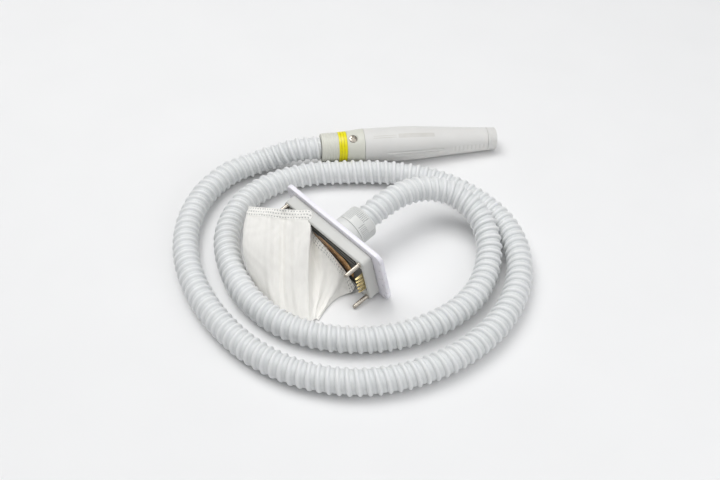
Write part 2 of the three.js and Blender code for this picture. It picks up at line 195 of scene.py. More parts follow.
class Finishes(bpy.types.PropertyGroup):
    barrel: colour("Barrel", "Moulded grip", "E2E1DE")
    collar: colour("Collar", "Moulded collar", "DBDBD0")
    label: colour("Label", "Coloured label band", "EFE400")
    hose: colour("Hose", "Hose wall", "E9EAEA")
    plate: colour("Plate", "Cover plate of the plug", "F3F1F8")
    block: colour("Block", "Contact block of the plug", "D2D2CE")
    cover: colour("Cover", "Non-woven cover", "FFFDF7")


# ---------- materials ----------


def add(tree, kind, inputs=(), **settings):
    """Adds a node with its settings, and fills or links its inputs."""
    node = tree.nodes.new(kind)
    for key, value in settings.items():
        setattr(node, key, value)
    for key, value in dict(inputs).items():
        if isinstance(value, bpy.types.NodeSocket):
            tree.links.new(value, node.inputs[key])
        else:
            node.inputs[key].default_value = value
    return node


def start(name):
    material = bpy.data.materials.new(name)
    material.use_nodes = True
    material.node_tree.nodes.clear()
    return material, material.node_tree


def finish_with(material, inputs):
    tree = material.node_tree
    shader = add(tree, "ShaderNodeBsdfPrincipled", inputs)
    add(tree, "ShaderNodeOutputMaterial", {"Surface": shader.outputs["BSDF"]})
    return material


def noise(tree, size_mm, detail=2.0, stretch=(1, 1, 1)):
    """Noise with features of that size on the piece's own coordinates."""
    place = add(tree, "ShaderNodeTexCoord").outputs["Object"]
    mapped = add(tree, "ShaderNodeMapping", {"Vector": place, "Scale": stretch})
    return add(tree, "ShaderNodeTexNoise", {
        "Vector": mapped.outputs["Vector"], "Scale": 1 / (size_mm * MM), "Detail": detail,
    }).outputs["Fac"]


def math_node(tree, operation, *values):
    return add(tree, "ShaderNodeMath", enumerate(values), operation=operation).outputs[0]


def spread(tree, value, low, high):
    """The value, from 0 to 1, moved to a range."""
    return add(tree, "ShaderNodeMapRange", {
        "Value": value, "From Min": 0.3, "From Max": 0.7, "To Min": low, "To Max": high,
    }).outputs["Result"]


def tinted(tree, base, factor, other):
    """Base colour mixed with another by a factor."""
    mix = add(tree, "ShaderNodeMix", data_type="RGBA")
    for index, value in ((0, factor), (6, base), (7, other)):
        if isinstance(value, bpy.types.NodeSocket):
            tree.links.new(value, mix.inputs[index])
        else:
            mix.inputs[index].default_value = value
    return mix.outputs[2]


def rgba(code_or_colour):
    values = linear(code_or_colour) if isinstance(code_or_colour, str) else code_or_colour
    return (*values, 1)


def shade(base, share):
    return tuple(c * share for c in base[:3]) + (1,)


def bump(tree, height, depth_mm, normal=None):
    inputs = {"Height": height, "Distance": depth_mm * MM, "Strength": 1.0}
    if normal is not None:
        inputs["Normal"] = normal
    return add(tree, "ShaderNodeBump", inputs).outputs["Normal"]


def moulded_plastic(name, base, roughness, grain_mm, depth_mm, subsurface=0.05):
    """ABS from a spark-eroded mould: a very fine grain breaks up the highlight, and the tone
    wanders a little over some centimetres from the flow and from handling."""
    material, tree = start(name)
    base = rgba(base)
    tone = spread(tree, noise(tree, 28, 3), 0, 1)
    return finish_with(material, {
        "Base Color": tinted(tree, base, tone, shade(base, 0.965)),
        "Roughness": spread(tree, noise(tree, 6, 2), roughness - 0.05, roughness + 0.06),
        "IOR": 1.53,
        "Subsurface Weight": subsurface,
        "Subsurface Radius": (0.6, 0.5, 0.4),
        "Subsurface Scale": 0.002,
        "Normal": bump(tree, noise(tree, grain_mm, 2), depth_mm),
    })


def turned_metal(name, base, roughness, groove_mm=0.25):
    """Metal turned or ground on a lathe: fine tool marks spread the highlight, and the
    surface stays bright with a few duller patches."""
    material, tree = start(name)
    base = rgba(base)
    wear = spread(tree, noise(tree, 4, 3), 0, 1)
    return finish_with(material, {
        "Base Color": tinted(tree, base, wear, shade(base, 0.9)),
        "Metallic": 1.0,
        "Roughness": spread(tree, noise(tree, 2, 2), roughness - 0.06, roughness + 0.08),
        "Normal": bump(tree, noise(tree, groove_mm, 1), 0.003),
    })


def soft_rubber(name, base, roughness=0.75):
    """Nitrile or silicone pressed in a mould: matt, with a faint bloom of dust."""
    material, tree = start(name)
    base = rgba(base)
    bloom = spread(tree, noise(tree, 3, 4), 0, 1)
    return finish_with(material, {
        "Base Color": tinted(tree, base, bloom, tuple(min(1, c + 0.02) for c in base[:3]) + (1,)),
        "Roughness": roughness,
        "IOR": 1.5,
        "Normal": bump(tree, noise(tree, 0.4, 2), 0.03),
    })


def station_window(tree, low_mm, high_mm, soft_mm=0.15):
    """1 between two stations of a turned piece, whose U is the station over 100 mm."""
    u = add(tree, "ShaderNodeSeparateXYZ", {
        "Vector": add(tree, "ShaderNodeTexCoord").outputs["UV"],
    }).outputs["X"]
    rise = add(tree, "ShaderNodeMapRange", {
        "Value": u, "From Min": (low_mm - soft_mm) / 100, "From Max": (low_mm + soft_mm) / 100,
    }).outputs["Result"]
    fall = add(tree, "ShaderNodeMapRange", {
        "Value": u, "From Min": (high_mm - soft_mm) / 100, "From Max": (high_mm + soft_mm) / 100,
    }).outputs["Result"]
    return math_node(tree, "SUBTRACT", rise, fall)


def side_window(tree, low_deg, high_deg, soft_deg=0.8):
    """1 between two angles round a turned piece, whose V is the angle from its top over 360."""
    v = add(tree, "ShaderNodeSeparateXYZ", {
        "Vector": add(tree, "ShaderNodeTexCoord").outputs["UV"],
    }).outputs["Y"]
    rise = add(tree, "ShaderNodeMapRange", {
        "Value": v, "From Min": (low_deg - soft_deg) / 360,
        "From Max": (low_deg + soft_deg) / 360,
    }).outputs["Result"]
    fall = add(tree, "ShaderNodeMapRange", {
        "Value": v, "From Min": (high_deg - soft_deg) / 360,
        "From Max": (high_deg + soft_deg) / 360,
    }).outputs["Result"]
    return math_node(tree, "SUBTRACT", rise, fall)


def barrel_abs(finishes):
    """Light warm grey ABS, moulded and satin, with the faded rest of two printed bars."""
    material, tree = start("barrel_abs_moulded")
    base = rgba(finishes.barrel)
    tone = spread(tree, noise(tree, 30, 3), 0, 1)
    body = tinted(tree, base, tone, shade(base, 0.95))
    bars = None
    for low, high, from_deg, to_deg in ((79, 117, -8, 8), (53, 77, -4, -1), (53, 77, 3, 6)):
        window = math_node(
            tree, "MULTIPLY", station_window(tree, low, high, 0.6),
            side_window(tree, from_deg, to_deg),
        )
        bars = window if bars is None else math_node(tree, "MAXIMUM", bars, window)
    worn = spread(tree, noise(tree, 14, 2), 0.2, 0.45)
    print_share = math_node(tree, "MULTIPLY", bars, worn)
    return finish_with(material, {
        "Base Color": tinted(tree, body, print_share, rgba("BEBAB0")),
        "Roughness": spread(tree, noise(tree, 7, 2), 0.36, 0.48),
        "IOR": 1.53,
        "Subsurface Weight": 0.06,
        "Subsurface Radius": (0.6, 0.5, 0.4),
        "Subsurface Scale": 0.002,
        "Normal": bump(tree, noise(tree, 0.35, 2), 0.012),
    })


def label_film(finishes):
    """Printed polyester label: clean saturated yellow, a light gloss, two thin darker lines."""
    material, tree = start("label_polyester_printed")
    lines = math_node(
        tree, "MAXIMUM", station_window(tree, 19.6, 20.2), station_window(tree, 22.6, 23.2),
    )
    scuffed = math_node(tree, "MULTIPLY", lines, spread(tree, noise(tree, 2, 3), 0.35, 0.95))
    return finish_with(material, {
        "Base Color": tinted(tree, rgba(finishes.label), scuffed, rgba("B09A10")),
        "Roughness": spread(tree, noise(tree, 3, 2), 0.28, 0.4),
        "IOR": 1.5,
        "Normal": bump(tree, noise(tree, 1.5, 2), 0.02),
    })


def hose_pvc(finishes):
    """Soft PVC over a hard helix: satin, slightly see-through, with painted shade greying its valleys, patchy by a
    noise.
    """
    material, tree = start("hose_pvc_ribbed")
    base = rgba(finishes.hose)
    height = add(tree, "ShaderNodeAttribute", attribute_name="rib").outputs["Fac"]
    valley = math_node(tree, "SUBTRACT", 1.0, height)
    # Painted shade: the valleys between the ribs are greyed towards D3D6D6, patchy by a noise.
    valley_shade = math_node(tree, "MULTIPLY", valley, spread(tree, noise(tree, 25, 3), 0.5, 0.9))
    return finish_with(material, {
        "Base Color": tinted(tree, base, valley_shade, rgba("D3D6D6")),
        "Roughness": spread(tree, noise(tree, 8, 2), 0.34, 0.48),
        "IOR": 1.54,
        "Subsurface Weight": 0.18,
        "Subsurface Radius": (0.9, 0.9, 1.0),
        "Subsurface Scale": 0.003,
        "Normal": bump(tree, noise(tree, 1.3, 3), 0.05),
    })


def nut_nylon():
    """Moulded nylon whose fine ribs get painted shade in their valleys, so that they read from afar."""
    material, tree = start("gland_nut_nylon_ribbed")
    base = rgba("DADBD8")
    depth = add(tree, "ShaderNodeAttribute", attribute_name="valley").outputs["Fac"]
    # Painted shade: the rib valleys are darkened towards 84888A, patchy by a noise.
    rib_valley_shade = math_node(tree, "MULTIPLY", depth, spread(tree, noise(tree, 6, 3), 0.6, 0.95))
    return finish_with(material, {
        "Base Color": tinted(tree, base, rib_valley_shade, rgba("84888A")),
        "Roughness": spread(tree, noise(tree, 5, 2), 0.36, 0.48),
        "IOR": 1.53,
        "Normal": bump(tree, noise(tree, 0.5, 2), 0.015),
    })


def nonwoven(finishes):
    """Spun-bonded polypropylene: loose fibres, a grid of tiny bond points and a soft sheen."""
    material, tree = start("cover_polypropylene_nonwoven")
    base = rgba(finishes.cover)
    uv = add(tree, "ShaderNodeTexCoord").outputs["UV"]
    fibres = add(tree, "ShaderNodeTexNoise", {
        "Vector": add(tree, "ShaderNodeMapping", {"Vector": uv, "Scale": (1, 0.35, 1)}).outputs[0],
        "Scale": 260.0, "Detail": 4.0,
    }).outputs["Fac"]
    bonds = add(tree, "ShaderNodeTexVoronoi", {"Vector": uv, "Scale": 110.0}).outputs["Distance"]
    height = math_node(tree, "ADD", fibres, math_node(tree, "MULTIPLY", bonds, 0.6))
    body = tinted(tree, base, spread(tree, fibres, 0, 1), shade(base, 0.94))
    weld = add(tree, "ShaderNodeAttribute", attribute_name="weld").outputs["Fac"]
    return finish_with(material, {
        "Base Color": tinted(tree, body, math_node(tree, "MULTIPLY", weld, 0.9), rgba("B4B6B4")),
        "Roughness": 0.85,
        "Sheen Weight": 0.25,
        "Sheen Roughness": 0.5,
        "Subsurface Weight": 0.2,
        "Subsurface Radius": (1, 1, 1),
        "Subsurface Scale": 0.002,
        "Normal": bump(tree, height, 0.06),
    })


def polyimide(name):
    """Amber polyimide film: glossy, its colour wandering between light amber and brown by a noise."""
    material, tree = start(name)
    return finish_with(material, {
        "Base Color": tinted(
            tree, rgba("F2C489"), spread(tree, noise(tree, 5, 3), 0, 1), rgba("B87C42"),
        ),
        "Roughness": 0.25,
        "IOR": 1.7,
        "Coat Weight": 0.4,
        "Normal": bump(tree, noise(tree, 1.2, 2), 0.03),
    })


def studio_paper(name, code):
    """Matt seamless paper: no gloss, a trace of tooth."""
    material, tree = start(name)
    base = rgba(code)
    return finish_with(material, {
        "Base Color": tinted(tree, base, spread(tree, noise(tree, 90, 2), 0, 1), shade(base, 0.985)),
        "Roughness": 0.7,
        "Normal": bump(tree, noise(tree, 0.8, 2), 0.01),
    })


MATERIALS = {}


def make_materials(finishes):
    MATERIALS.update({
        "barrel_plastic": barrel_abs(finishes),
        "collar_plastic": moulded_plastic("collar_abs_moulded", finishes.collar, 0.46, 0.5, 0.02),
        "label_film": label_film(finishes),
        "steel": turned_metal("steel_stainless_turned", "B8B1A6", 0.26),
        "brass": turned_metal("brass_turned", "B08A3C", 0.3),
        "aluminium": turned_metal("aluminium_turned", "C3C6CA", 0.32),
        "lamination": turned_metal("steel_laminations_varnished", "55585C", 0.5, 0.5),
        "copper": turned_metal("copper_wire_enamelled", "B4693A", 0.35, 0.4),
        "gold": turned_metal("gold_plated_spring_alloy", "DCC994", 0.34),
        "black_rubber": soft_rubber("rubber_nitrile_moulded", "1C1C1D"),
        "black_plastic": moulded_plastic("nylon_dark_moulded", "4B4A45", 0.5, 0.4, 0.02, 0.0),
        "clear_tube": moulded_plastic("polyurethane_tube_extruded", "BFD3DA", 0.3, 0.6, 0.01),
        "hose_vinyl": hose_pvc(finishes),
        "plate_plastic": moulded_plastic("plate_abs_glossy", finishes.plate, 0.3, 0.7, 0.006),
        "block_plastic": moulded_plastic("block_abs_moulded", finishes.block, 0.45, 0.4, 0.02),
        "gland_plastic": moulded_plastic("gland_nylon_moulded", "DADBD8", 0.42, 0.5, 0.015),
        "nut_nylon": nut_nylon(),
        "amber_film": polyimide("film_polyimide"),
        "cover_fabric": nonwoven(finishes),
    })


# ---------- mesh helpers ----------


def turned(outline, steps, closed=True):
    """A mesh of an outline of (station, radius) pairs, in millimetres, spun about X."""
    mesh = bmesh.new()
    verts = [mesh.verts.new((x, r, 0)) for x, r in outline]
    pairs = list(zip(verts, verts[1:]))
    if closed:
        pairs.append((verts[-1], verts[0]))
    edges = [mesh.edges.new(pair) for pair in pairs]
    bmesh.ops.spin(
        mesh, geom=verts + edges, cent=(0, 0, 0), axis=X_AXIS, angle=math.tau, steps=steps,
        use_merge=True,
    )
    bmesh.ops.remove_doubles(mesh, verts=mesh.verts[:], dist=0.0005)
    bmesh.ops.recalc_face_normals(mesh, faces=mesh.faces[:])
    return mesh


def sharp_edges(mesh, degrees):
    limit = math.radians(degrees)
    return [e for e in mesh.edges if e.is_manifold and e.calc_face_angle(0) > limit]


def soften(mesh, width_mm, degrees=30, segments=2, edges=None):
    """Rounds the sharp edges."""
    chosen = sharp_edges(mesh, degrees) if edges is None else edges
    bmesh.ops.bevel(
        mesh, geom=chosen, offset=width_mm, offset_type="OFFSET", segments=segments,
        profile=0.5, affect="EDGES", material=-1, clamp_overlap=True,
    )


def turned_uv(mesh):
    """U is the station over 100 mm, V the angle from the top over 360 degrees."""
    layer = mesh.loops.layers.uv.new("UVMap")
    for face in mesh.faces:
        for loop in face.loops:
            place = loop.vert.co
            angle = math.degrees(math.atan2(-place.y, place.z))
            loop[layer].uv = (place.x / 100, angle / 360)


def place(name, mesh, matrix, body, slot, replaced=(), crease=32, material=None):
    """Turns a mesh of a piece's own millimetres into a piece in the row frame."""
    bmesh.ops.transform(mesh, matrix=matrix, verts=mesh.verts[:])
    if matrix.determinant() < 0:
        bmesh.ops.reverse_faces(mesh, faces=mesh.faces[:])
    data = bpy.data.meshes.new(name)
    mesh.to_mesh(data)
    mesh.free()
    data.shade_smooth()
    data.set_sharp_from_angle(angle=math.radians(crease))
    data.materials.append(material or MATERIALS[slot])
    piece = bpy.data.objects.new(name, data)
    bpy.context.scene.collection.objects.link(piece)
    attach(piece, body)
    if replaced:
        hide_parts(*replaced)
    return piece


def body_of_node(node):
    bodies = frame["record"]["behaviour"]["bodies"]
    return next(name for name, members in bodies.items() if node in members)


def slot_of_node(node):
    return next(
        s["material_slot"] for s in frame["record"]["subparts"] if s["node"] == node
    )


def refined(node, name, edge_mm, degrees=25, segments=2, crease=32, across=1.0):
    """A finer copy of a CAD piece with rounded edges, drawn in along the plug's Z by a share."""
    mesh = bmesh.new()
    mesh.from_mesh(frame["nodes"][node].data)
    bmesh.ops.scale(mesh, vec=(1 / MM,) * 3, verts=mesh.verts[:])
    bmesh.ops.remove_doubles(mesh, verts=mesh.verts[:], dist=0.002)
    bmesh.ops.dissolve_limit(
        mesh, angle_limit=math.radians(1.5), verts=mesh.verts[:], edges=mesh.edges[:],
    )
    bmesh.ops.recalc_face_normals(mesh, faces=mesh.faces[:])
    if across < 1:
        axis = PLUG.to_3x3().col[2].normalized()
        centre = sum((v.co for v in mesh.verts), Vector()) / len(mesh.verts)
        for vert in mesh.verts:
            vert.co -= axis * ((vert.co - centre).dot(axis) * (1 - across))
    soften(mesh, edge_mm, degrees, segments)
    matrix = Matrix.Scale(MM, 4)
    return place(name, mesh, matrix, body_of_node(node), slot_of_node(node), [node], crease)


# ---------- hose ----------


def route_point(points, index, t):
    """A point on the centripetal curve between two route points."""
    last = len(points) - 1
    p1, p2 = points[index], points[index + 1]
    p0 = points[index - 1] if index > 0 else 2 * p1 - p2
    p3 = points[index + 2] if index + 2 <= last else 2 * p2 - p1
    a, b, c = ((q - p).length ** 0.5 for p, q in ((p0, p1), (p1, p2), (p2, p3)))
    m1 = ((p1 - p0) / a - (p2 - p0) / (a + b) + (p2 - p1) / b) * b
    m2 = ((p2 - p1) / b - (p3 - p1) / (b + c) + (p3 - p2) / c) * b
    t2, t3 = t * t, t * t * t
    return (
        p1 * (2 * t3 - 3 * t2 + 1) + m1 * (t3 - 2 * t2 + t)
        + p2 * (3 * t2 - 2 * t3) + m2 * (t3 - t2)
    )


def even_route(step):
    """The hose's centreline as points an even step apart, and the length."""
    points = [Vector(p) for p in HOSE_ROUTE]
    fine = [
        route_point(points, index, part / 60)
        for index in range(len(points) - 1) for part in range(60)
    ] + [points[-1]]
    walked = [0.0]
    for one, two in zip(fine, fine[1:]):
        walked.append(walked[-1] + (two - one).length)
    total = walked[-1]
    count = round(total / step)
    even = []
    index = 0
    for number in range(count + 1):
        goal = total * number / count
        while index < len(walked) - 2 and walked[index + 1] < goal:
            index += 1
        share = (goal - walked[index]) / (walked[index + 1] - walked[index])
        even.append(fine[index].lerp(fine[index + 1], min(1, share)))
    return even, total


def carried_frames(points):
    """Two side directions at each point, carried along the line without twist."""
    directions = [
        (points[min(i + 1, len(points) - 1)] - points[max(i - 1, 0)]).normalized()
        for i in range(len(points))
    ]
    side = directions[0].orthogonal().normalized()
    sides = [side]
    for before, after in zip(directions, directions[1:]):
        side = before.rotation_difference(after) @ side
        side = (side - after * side.dot(after)).normalized()
        sides.append(side)
    return sides, [d.cross(s) for d, s in zip(directions, sides)]


def rib_height(share):
    """Height of the wall over its valley along one pitch, from 0 to 1."""
    main = 0.56
    if share < main:
        return math.sin(math.pi * share / main) ** 0.7
    return 0.24 * math.sin(math.pi * (share - main) / (1 - main))


def ribbed_tube(sizes, total):
    """A straight hose along Z, in metres: one pitch of wall wound round as a screw."""
    samples = 13
    turns = math.ceil(total / sizes.pitch) + 1
    mesh = bmesh.new()
    verts = []
    for sample in range(samples + 1):
        share = sample / samples
        radius = sizes.diameter / 2 - sizes.rib * (1 - rib_height(share))
        verts.append(mesh.verts.new((radius, 0, (share - 1) * sizes.pitch)))
    edges = [mesh.edges.new(pair) for pair in zip(verts, verts[1:])]
    bmesh.ops.spin(
        mesh, geom=verts + edges, cent=(0, 0, 0), axis=Z_AXIS, angle=math.tau,
        dvec=Z_AXIS * (sizes.pitch / sizes.sides), steps=sizes.sides,
    )
    made = 1
    while made < turns:
        geometry = mesh.verts[:] + mesh.edges[:] + mesh.faces[:]
        copied = bmesh.ops.duplicate(mesh, geom=geometry)["geom"]
        fresh = [g for g in copied if isinstance(g, bmesh.types.BMVert)]
        bmesh.ops.translate(mesh, vec=Z_AXIS * (sizes.pitch * made), verts=fresh)
        made *= 2
    bmesh.ops.remove_doubles(mesh, verts=mesh.verts[:], dist=0.00002)
    for height, side in ((0, -1), (total, 1)):
        geometry = mesh.verts[:] + mesh.edges[:] + mesh.faces[:]
        bmesh.ops.bisect_plane(
            mesh, geom=geometry, plane_co=(0, 0, height), plane_no=(0, 0, side),
            clear_outer=True, dist=0.00001,
        )
    rims = [e for e in mesh.edges if e.is_boundary]
    bmesh.ops.holes_fill(mesh, edges=rims, sides=0)
    bmesh.ops.recalc_face_normals(mesh, faces=mesh.faces[:])
    return mesh


def build_hose(sizes):
    points, total = even_route(0.001)
    sides, others = carried_frames(points)
    mesh = ribbed_tube(sizes, total)
    # Rib height, from which the hose's material paints shade into the valleys.
    layer = mesh.verts.layers.float.new("rib")
    valley = sizes.diameter / 2 - sizes.rib
    last = len(points) - 1
    for vert in mesh.verts:
        x, y, z = vert.co
        vert[layer] = (math.hypot(x, y) - valley) / sizes.rib
        goal = min(max(z / total * last, 0), last)
        index = min(int(goal), last - 1)
        share = goal - index
        centre = points[index].lerp(points[index + 1], share)
        side = sides[index].lerp(sides[index + 1], share)
        other = others[index].lerp(others[index + 1], share)
        vert.co = centre + side * x + other * y
    hose = place(
        "hose_ribbed", mesh, Matrix.Identity(4), "root", "hose_vinyl", ["ribbed_hose"], 70,
    )
    return hose


# ---------- handpiece ----------


def interpolated(outline, station):
    """Radius of a smooth curve through (station, radius) pairs."""
    last = len(outline) - 1
    index = max(i for i in range(last) if outline[i][0] <= station or i == 0)
    (x1, r1), (x2, r2) = outline[index], outline[index + 1]

    def slope(i):
        low, high = max(i - 1, 0), min(i + 1, last)
        return (outline[high][1] - outline[low][1]) / (outline[high][0] - outline[low][0])

    span = x2 - x1
    t = min(max((station - x1) / span, 0), 1)
    t2, t3 = t * t, t * t * t
    return (
        r1 * (2 * t3 - 3 * t2 + 1) + r2 * (3 * t2 - 2 * t3)
        + span * (slope(index) * (t3 - 2 * t2 + t) + slope(index + 1) * (t3 - t2))
    )


def bell(value, centre, half_width):
    """1 at the centre, falling smoothly to 0 at the half width."""
    share = abs(value - centre) / half_width
    return 0.0 if share >= 1 else (math.cos(math.pi * share) + 1) / 2


def plateau(value, low, high, ramp):
    """1 between two values with smooth ramps outside them."""
    inside = min((value - low) / ramp + 1, (high - value) / ramp + 1, 1)
    inside = max(0, inside)
    return inside * inside * (3 - 2 * inside)


def grip_depth(sizes, station, angle, radius):
    """How far the grooves and the finger grip go below the grip's surface, in millimetres."""
    depth = 0.0
    side_mm = math.radians(abs(angle)) * radius
    for centre_deg, start, end in ((58, 69, 124), (69, 76, 119)):
        centre = math.radians(centre_deg) * radius
        run = plateau(station, start, end, 3)
        depth = max(depth, sizes.side_groove / MM * run * bell(side_mm, centre, 1.2))
    pad = plateau(abs(angle), 56, 74, 6) * plateau(station, 137, 172, 2)
    notch = max(0.0, math.sin(math.tau * (station - 137) / 4.4)) ** 0.8
    return max(depth, sizes.rib_groove / MM * pad * notch)


def build_barrel(sizes):
    outline = grip_outline()
    step = 0.7
    count = round((BARREL_END - COLLAR_END) / step)
    outer = []
    for number in range(count + 1):
        station = COLLAR_END + (BARREL_END - COLLAR_END) * number / count
        outer.append((station, interpolated(outline, station)))
    inner = [(BARREL_END, 9.7), (131.3, 9.7), (131.3, 12.5), (COLLAR_END, 12.5)]
    mesh = turned(outer + inner, 200)
    for vert in mesh.verts:
        radius = math.hypot(vert.co.y, vert.co.z)
        if radius < 11.8 or not COLLAR_END + 1 < vert.co.x < BARREL_END - 1:
            continue
        if radius < interpolated(outline, vert.co.x) - 0.2:
            continue
        angle = math.degrees(math.atan2(-vert.co.y, vert.co.z))
        share = 1 - grip_depth(sizes, vert.co.x, angle, radius) / radius
        vert.co.y *= share
        vert.co.z *= share
    rims = [
        e for e in sharp_edges(mesh, 60)
        if all(abs(math.hypot(v.co.y, v.co.z)) > 11.8 for v in e.verts)
        and abs(e.verts[0].co.x - e.verts[1].co.x) < 0.01
    ]
    soften(mesh, 0.35, edges=rims)
    turned_uv(mesh)
    return place(
        "barrel", mesh, HANDPIECE, "root", "barrel_plastic", ["barrel_shell"], 50,
    )


def build_collar(sizes):
    """Collar with fine rings behind the label, and a round seat sunk for the screw."""
    outline = [(0, 9.6), (0, 14.0), (0.7, 14.75)]
    rings, first, last = 6, 2.0, 15.5
    for number in range(rings):
        at = first + (last - first) * number / (rings - 1)
        surface = 14.8 + 0.4 * at / LABEL_START
        depth = sizes.ring_groove / MM
        outline += [(at - 0.45, surface), (at, surface - depth), (at + 0.45, surface)]
    outline += [
        (LABEL_START, 15.2), (LABEL_START, 14.75), (LABEL_END, 14.75), (LABEL_END, 15.9),
    ]
    rise = 26
    for number in range(1, rise + 1):
        share = number / rise
        outline.append((LABEL_END + (43.7 - LABEL_END) * share, 15.9 + 1.7 * share))
    outline += [(43.7, 14.1), (28, 14.1), (28, 11.5), (2.2, 11.5), (2.2, 9.6)]
    mesh = turned(outline, 192)
    for vert in mesh.verts:
        if math.hypot(vert.co.y, vert.co.z) < 15.4 or vert.co.z < 0:
            continue
        reach = math.hypot(vert.co.x - SCREW_STATION, vert.co.y)
        if reach < 5.3:
            sunk = plateau(reach, -1, 4.7, 0.5)
            vert.co.z += (15.75 - vert.co.z) * sunk
    turned_uv(mesh)
    return place("collar", mesh, HANDPIECE, "root", "collar_plastic", ["rear_collar"], 28)


def build_label():
    outline = [(17.5, 14.95), (17.5, 15.3), (17.7, 15.42), (25.7, 15.82), (25.9, 15.7), (25.9, 14.95)]
    mesh = turned(outline, 128)
    turned_uv(mesh)
    return place("label_band_film", mesh, HANDPIECE, "root", "label_film", ["label_band"])


def cross_recess(mesh, centre, radius, top, depth, axis_long=2.4, axis_wide=0.55):
    """Sinks a cross into the top of a screw head that looks along Z."""
    for vert in mesh.verts:
        x, y = vert.co.x - centre.x, vert.co.y - centre.y
        if vert.co.z < top or math.hypot(x, y) > radius:
            continue
        arm = max(
            plateau(abs(x), -1, axis_long, 0.3) * plateau(abs(y), -1, axis_wide, 0.25),
            plateau(abs(y), -1, axis_long, 0.3) * plateau(abs(x), -1, axis_wide, 0.25),
        )
        vert.co.z -= arm * depth


def build_collar_screw():
    """Pan head with a cross recess. It is spun fine enough for the recess to be sunk in it."""
    rings = 22
    outline = [(12.7, 0.0), (12.7, 1.45), (15.9, 1.45), (15.9, 4.05), (16.15, 4.25)]
    for number in range(rings + 1):
        angle = math.pi / 2 * number / rings
        outline.append((16.2 + 0.95 * math.sin(angle), 4.25 * math.cos(angle) + 0.0001))
    mesh = turned(outline, 96, closed=False)
    mesh_turn = Matrix.Rotation(-math.pi / 2, 4, "Y")
    bmesh.ops.transform(mesh, matrix=mesh_turn, verts=mesh.verts[:])
    cross_recess(mesh, Vector((0, 0, 0)), 3.4, 16.0, 0.9)
    bmesh.ops.recalc_face_normals(mesh, faces=mesh.faces[:])
    bmesh.ops.translate(mesh, vec=(SCREW_STATION, 0, 0), verts=mesh.verts[:])
    return place("collar_screw_head", mesh, HANDPIECE, "root", "steel", ["collar_screw"], 45)


def build_nose_ring():
    """Lock ring with fine turned rings near its front edge."""
    outline = [(NOSE_START, 9.9), (NOSE_START, 11.75), (NOSE_START + 0.3, 11.98)]
    end_radius = 11.5
    for number in range(4):
        at = 177.6 + 1.5 * number
        surface = 11.98 - 0.48 * (at - NOSE_START) / (183.6 - NOSE_START)
        outline += [(at - 0.3, surface), (at, surface - 0.2), (at + 0.3, surface)]
    for number in range(7):
        angle = math.pi / 2 * number / 6
        outline.append((183.5 + 1.1 * math.sin(angle), end_radius - 1.1 + 1.1 * math.cos(angle)))
    outline += [(NOSE_END, 7.0), (184.2, 6.5), (182.4, 6.5), (182.4, 9.9)]
    mesh = turned(outline, 128)
    turned_uv(mesh)
    return place("nose_ring", mesh, HANDPIECE, "lock_ring", "barrel_plastic", ["nose_lock_ring"], 30)


def build_nose_front():
    """What shows in the mouth of the nose: the retainer, the spindle and collet."""
    pieces = []
    for name, node, outline in (
        ("spindle_nose", "drive_spindle", [
            (48, 0), (48, 2.2), (48.3, 2.5), (128, 2.5), (128, 3), (150, 3), (150, 4.6),
            (179.7, 4.6), (180, 4.3), (180, 2.3), (179.8, 2.1), (158, 2.1), (158, 0),
        ]),
        ("collet_head", "collet", [
            (159, 0), (159, 1.8), (180.3, 1.8), (180.3, 4.0), (180.5, 4.2), (183.1, 4.2),
            (183.5, 3.8), (183.5, 1.5), (183.2, 1.2), (165, 1.2), (165, 0),
        ]),
    ):
        mesh = turned(outline, 64, closed=False)
        body, slot = body_of_node(node), slot_of_node(node)
        pieces.append(place(name, mesh, HANDPIECE, body, slot, [node]))
    for name, node, outline in (
        ("retainer_ring", "seal_retainer", [
            (176.8, 4.9), (176.8, 7.5), (181.4, 7.5), (181.7, 7.2), (181.7, 5.2), (181.4, 4.9),
        ]),
    ):
        mesh = turned(outline, 64)
        pieces.append(place(name, mesh, HANDPIECE, "root", "steel", [node]))
    return pieces


# ---------- plug ----------


def y_outline(outline, steps, closed=True):
    """A turned mesh whose stations run along Y."""
    mesh = turned(outline, steps, closed)
    bmesh.ops.rotate(
        mesh, cent=(0, 0, 0), matrix=Matrix.Rotation(math.pi / 2, 3, "Z"), verts=mesh.verts[:],
    )
    return mesh


def build_plate(sizes):
    """Cover plate: its corners rounded first, then both faces' rims."""
    low, high = -4.5, 0.0
    width, height, corner = 130, 66, 7
    mesh = bmesh.new()
    matrix = Matrix.Translation((0, (low + high) / 2, 0)) @ Matrix.Diagonal(
        (width, high - low, height, 1)
    )
    bmesh.ops.create_cube(mesh, size=1, matrix=matrix)
    upright = [
        e for e in mesh.edges if abs((e.verts[0].co - e.verts[1].co).normalized().y) > 0.9
    ]
    soften(mesh, corner, segments=12, edges=upright)
    rims = [
        e for e in mesh.edges
        if sum(abs(f.normal.y) > 0.9 for f in e.link_faces) == 1
    ]
    soften(mesh, 0.7, segments=3, edges=rims)
    return place(
        "plate_moulding", mesh, PLUG, "root", "plate_plastic", ["cover_plate"], 35,
    )


def build_pins():
    pieces = []
    for number in range(1, 5):
        node = f"guide_pin_{number}"
        low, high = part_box(node)
        to_own = PLUG.inverted()
        centre = to_own @ ((low + high) / 2)
        outline = [(10.4, 0), (10.4, 2.0), (16.4, 2.0), (16.5, 2.9), (17.1, 2.9), (17.3, 2.0)]
        tip, radius = 33.8, 2.0
        for step in range(10):
            angle = math.pi / 2 * step / 9
            outline.append((
                tip - radius + radius * math.sin(angle), radius * math.cos(angle),
            ))
        mesh = y_outline(outline, 40, closed=False)
        flip = Matrix.Rotation(math.pi, 4, "Z")
        bmesh.ops.transform(mesh, matrix=flip, verts=mesh.verts[:])
        bmesh.ops.recalc_face_normals(mesh, faces=mesh.faces[:])
        bmesh.ops.translate(mesh, vec=(centre.x, 0, centre.z), verts=mesh.verts[:])
        pieces.append(place(f"pin_{number}", mesh, PLUG, "root", "steel", [node], 40))
    return pieces


